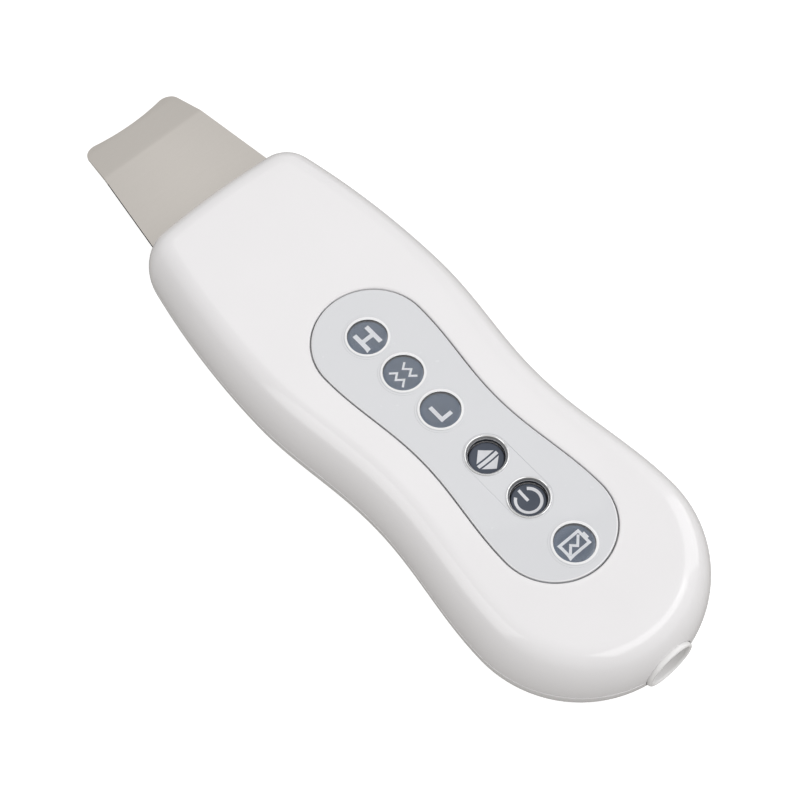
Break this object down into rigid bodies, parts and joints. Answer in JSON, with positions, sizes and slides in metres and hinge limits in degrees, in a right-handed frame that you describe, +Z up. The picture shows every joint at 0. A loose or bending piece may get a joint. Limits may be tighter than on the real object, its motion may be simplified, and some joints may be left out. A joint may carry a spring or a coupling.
{
  "type": "skin scrubber",
  "caption": "Slim white handheld ultrasonic skin scrubber with a bent steel spatula, a clear control panel with two press buttons and a rear charging socket.",
  "frame": {"origin": "on the surface the scrubber lies on, under the middle of its bounding box", "axes": "+Y along the scrubber towards the blade tip, +Z up out of the control panel, +X to the right seen from above with the blade forward"},
  "size_m": [0.0514, 0.1698, 0.0202],
  "materials": {
    "shell_white": "glossy white moulded plastic",
    "collar_white": "glossy white moulded plastic",
    "lens_clear": "clear glossy plastic lens over a cool pale grey print",
    "adhesive_sheet": "pale grey sheet",
    "smoke_slate": "smoked slate grey plastic",
    "button_slate": "dark slate satin plastic",
    "blade_steel": "fine satin stainless steel",
    "screw_steel": "plated steel",
    "horn_aluminium": "turned aluminium",
    "contact_brass": "brass",
    "piezo_ceramic": "fired ceramic",
    "silicone_white": "matt white silicone",
    "black_plastic": "black plastic",
    "board_green": "green solder mask",
    "cell_foil": "silver pouch foil",
    "led_white": "white LED body",
    "ferrite_grey": "dark ferrite",
    "coil_copper": "enamelled copper",
    "foam_grey": "grey foam",
    "lead_red": "red wire insulation",
    "lead_black": "black wire insulation"
  },
  "bodies": {
    "handpiece": {"upper_shell": "shell_white", "lower_shell": "shell_white", "control_panel": "lens_clear", "button_bezel": "lens_clear", "panel_adhesive": "adhesive_sheet", "high_light_guide": "smoke_slate", "high_led": "led_white", "pulse_light_guide": "smoke_slate", "pulse_led": "led_white", "low_light_guide": "smoke_slate", "low_led": "led_white", "battery_light_guide": "smoke_slate", "battery_led": "led_white", "mode_switch": "screw_steel", "power_switch": "screw_steel", "main_board": "board_green", "board_screw_front": "screw_steel", "board_screw_rear": "screw_steel", "driver_transformer": "ferrite_grey", "tuning_coil": "coil_copper", "controller_chip": "black_plastic", "power_transistor": "black_plastic", "battery": "cell_foil", "battery_pad": "foam_grey", "blade": "blade_steel", "horn": "horn_aluminium", "blade_clamp": "horn_aluminium", "blade_screw_left": "screw_steel", "blade_screw_right": "screw_steel", "electrode_front": "contact_brass", "piezo_front": "piezo_ceramic", "electrode_rear": "contact_brass", "piezo_rear": "piezo_ceramic", "back_mass": "screw_steel", "stack_bolt": "screw_steel", "tail_damper": "silicone_white", "horn_damper": "silicone_white", "blade_seal": "silicone_white", "socket_collar": "collar_white", "charging_jack": "black_plastic", "jack_pin": "contact_brass", "case_screw_rear_left": "screw_steel", "screw_plug_rear_left": "silicone_white", "case_screw_rear_right": "screw_steel", "screw_plug_rear_right": "silicone_white", "case_screw_front_left": "screw_steel", "screw_plug_front_left": "silicone_white", "case_screw_front_right": "screw_steel", "screw_plug_front_right": "silicone_white", "battery_lead_positive": "lead_red", "battery_lead_negative": "lead_black", "jack_lead_positive": "lead_red", "jack_lead_negative": "lead_black", "transducer_lead_drive": "lead_red", "transducer_lead_return": "lead_black"},
    "mode_key": {"mode_button": "button_slate", "mode_plunger": "black_plastic"},
    "power_key": {"power_button": "button_slate", "power_plunger": "black_plastic"}
  },
  "joints": [
    {"name": "mode_press", "type": "slide", "parent": "handpiece", "child": "mode_key", "axis": [0, 0, 1], "range_m": [-0.0005, 0], "stiffness_N_per_m": 1500},
    {"name": "power_press", "type": "slide", "parent": "handpiece", "child": "power_key", "axis": [0, 0, 1], "range_m": [-0.0005, 0], "stiffness_N_per_m": 1500}
  ]
}
